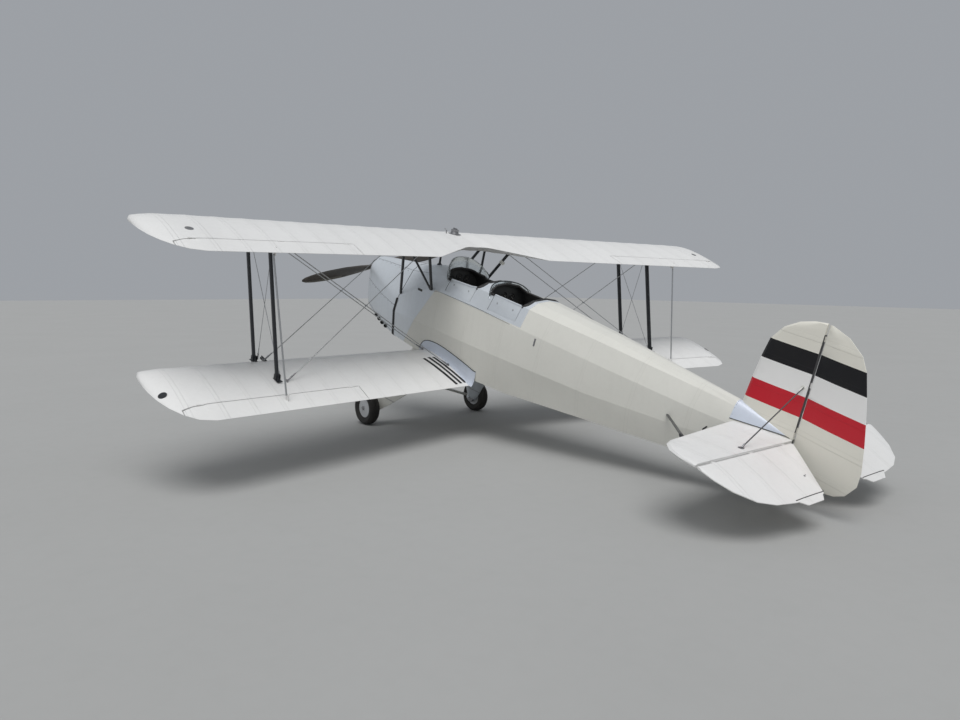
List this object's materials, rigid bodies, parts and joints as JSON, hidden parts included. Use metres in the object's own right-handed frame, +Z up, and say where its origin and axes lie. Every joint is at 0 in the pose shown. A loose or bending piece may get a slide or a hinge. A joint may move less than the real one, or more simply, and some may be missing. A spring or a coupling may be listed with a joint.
{
  "type": "two-seat training biplane",
  "caption": "Open-cockpit two-seat training biplane with swept wings, in-line engine cowling, wooden propeller, fixed faired main gear and tail wheel.",
  "frame": {"origin": "on the ground, under the middle of the whole aeroplane's box", "axes": "+X towards the nose, +Y to port, +Z up; the fuselage stands nose up on its three wheels"},
  "size_m": [6.5102, 7.3964, 2.2656],
  "materials": {
    "fabric": "doped satin",
    "white": "doped satin",
    "silver": "satin",
    "black": "gloss",
    "rubber": "matt",
    "wood": "varnished",
    "steel": "brushed",
    "glass": "clear",
    "leather": "worn"
  },
  "bodies": {
    "airframe": {"upper_wing_centre": "white", "upper_wing_port": "white", "upper_wing_starboard": "white", "lower_wing_port": "white", "lower_wing_starboard": "white", "stabilizer_port": "white", "stabilizer_starboard": "white", "fuselage_body": "fabric", "fin": "fabric", "axle_pyramid": "fabric", "gear_leg_port": "fabric", "gear_leg_starboard": "fabric", "cowling": "silver", "forward_bay": "silver", "cockpit_surround": "silver", "strut_front_port": "black", "strut_front_starboard": "black", "strut_rear_port": "black", "strut_rear_starboard": "black", "cabane_port": "black", "cabane_starboard": "black", "tail_strut_port": "black", "tail_strut_starboard": "black", "instrument_panel_front": "black", "instrument_panel_rear": "black", "control_column": "black", "stays_front_port": "steel", "stays_front_starboard": "steel", "stays_rear_port": "steel", "stays_rear_starboard": "steel", "tail_wire_port": "steel", "tail_wire_starboard": "steel", "engine_block": "steel", "windscreen_front": "glass", "windscreen_rear": "glass", "seat_front": "leather", "seat_rear": "leather"},
    "propeller": {"propeller": "wood"},
    "wheel_port": {"wheel_port": "rubber"},
    "wheel_starboard": {"wheel_starboard": "rubber"},
    "rudder": {"rudder": "fabric"},
    "elevators": {"elevator_port": "white", "elevator_starboard": "white"},
    "tail_fork": {"tail_fork": "black"},
    "tail_wheel": {"tail_wheel": "rubber"},
    "cockpit_door_front": {"cockpit_door_front": "silver"},
    "cockpit_door_rear": {"cockpit_door_rear": "silver"},
    "upper_aileron_port": {"upper_aileron_port": "white"},
    "upper_aileron_starboard": {"upper_aileron_starboard": "white"},
    "lower_aileron_port": {"lower_aileron_port": "white"},
    "lower_aileron_starboard": {"lower_aileron_starboard": "white"},
    "aileron_link_port": {"aileron_link_port": "steel"},
    "aileron_link_starboard": {"aileron_link_starboard": "steel"}
  },
  "joints": [
    {"name": "propeller_spin", "type": "hinge", "parent": "airframe", "child": "propeller", "pos_m": [3.17153, 0, 1.88907], "axis": [0.9695, 0, 0.245], "continuous": true},
    {"name": "wheel_port_spin", "type": "hinge", "parent": "airframe", "child": "wheel_port", "pos_m": [2.11517, 0.823, 0.1957], "axis": [0, 1, 0], "continuous": true},
    {"name": "wheel_starboard_spin", "type": "hinge", "parent": "airframe", "child": "wheel_starboard", "pos_m": [2.11517, -0.823, 0.1957], "axis": [0, 1, 0], "continuous": true},
    {"name": "rudder_turn", "type": "hinge", "parent": "airframe", "child": "rudder", "pos_m": [-2.76002, 0, 0.76167], "axis": [-0.245, 0, 0.9695], "range_deg": [-14.5, 41.5]},
    {"name": "elevators_turn", "type": "hinge", "parent": "airframe", "child": "elevators", "pos_m": [-2.6975, 0, 0.49383], "axis": [0, 1, 0], "range_deg": [-5, 47]},
    {"name": "tail_fork_turn", "type": "hinge", "parent": "airframe", "child": "tail_fork", "pos_m": [-2.51906, 0, 0.2], "axis": [0, 0, 1], "range_deg": [-14.6, 41.6]},
    {"name": "tail_wheel_spin", "type": "hinge", "parent": "tail_fork", "child": "tail_wheel", "pos_m": [-2.57741, 0.01401, 0.095], "axis": [0.2334, 0.9724, 0], "continuous": true},
    {"name": "lower_aileron_port_turn", "type": "hinge", "parent": "airframe", "child": "lower_aileron_port", "pos_m": [0.46919, 2.6, 0.70515], "axis": [-0.2034, 0.979, 0.0116], "range_deg": [-20, 20]},
    {"name": "lower_aileron_starboard_turn", "type": "hinge", "parent": "airframe", "child": "lower_aileron_starboard", "pos_m": [0.46919, -2.6, 0.70515], "axis": [0.2034, 0.979, -0.0116], "range_deg": [-20, 20]},
    {"name": "upper_aileron_port_turn", "type": "hinge", "parent": "airframe", "child": "upper_aileron_port", "pos_m": [0.55686, 2.6, 2.00292], "axis": [-0.1969, 0.9803, -0.0153], "range_deg": [-20, 20]},
    {"name": "upper_aileron_starboard_turn", "type": "hinge", "parent": "airframe", "child": "upper_aileron_starboard", "pos_m": [0.55686, -2.6, 2.00292], "axis": [0.1969, 0.9803, 0.0153], "range_deg": [-20, 20]},
    {"name": "aileron_link_port_turn", "type": "hinge", "parent": "lower_aileron_port", "child": "aileron_link_port", "pos_m": [0.38956, 2.6523, 0.7103], "axis": [-0.2034, 0.979, 0.0116], "range_deg": [-22, 22]},
    {"name": "aileron_link_starboard_turn", "type": "hinge", "parent": "lower_aileron_starboard", "child": "aileron_link_starboard", "pos_m": [0.38956, -2.6523, 0.7103], "axis": [0.2034, 0.979, -0.0116], "range_deg": [-22, 22]},
    {"name": "cockpit_door_front_turn", "type": "hinge", "parent": "airframe", "child": "cockpit_door_front", "pos_m": [1.03913, 0.3391, 1.52346], "axis": [-0.9695, 0, -0.245], "range_deg": [0, 150]},
    {"name": "cockpit_door_rear_turn", "type": "hinge", "parent": "airframe", "child": "cockpit_door_rear", "pos_m": [0.3144, 0.33563, 1.34034], "axis": [-0.9692, -0.0244, -0.2449], "range_deg": [0, 150]}
  ],
  "couplings": [
    {"joint": "upper_aileron_port_turn", "follows": "lower_aileron_port_turn", "ratio": 1},
    {"joint": "lower_aileron_starboard_turn", "follows": "lower_aileron_port_turn", "ratio": -1},
    {"joint": "upper_aileron_starboard_turn", "follows": "lower_aileron_port_turn", "ratio": -1},
    {"joint": "aileron_link_port_turn", "follows": "lower_aileron_port_turn", "ratio": -1.0958},
    {"joint": "aileron_link_starboard_turn", "follows": "lower_aileron_port_turn", "ratio": 1.0958},
    {"joint": "tail_fork_turn", "follows": "rudder_turn", "ratio": 1}
  ]
}
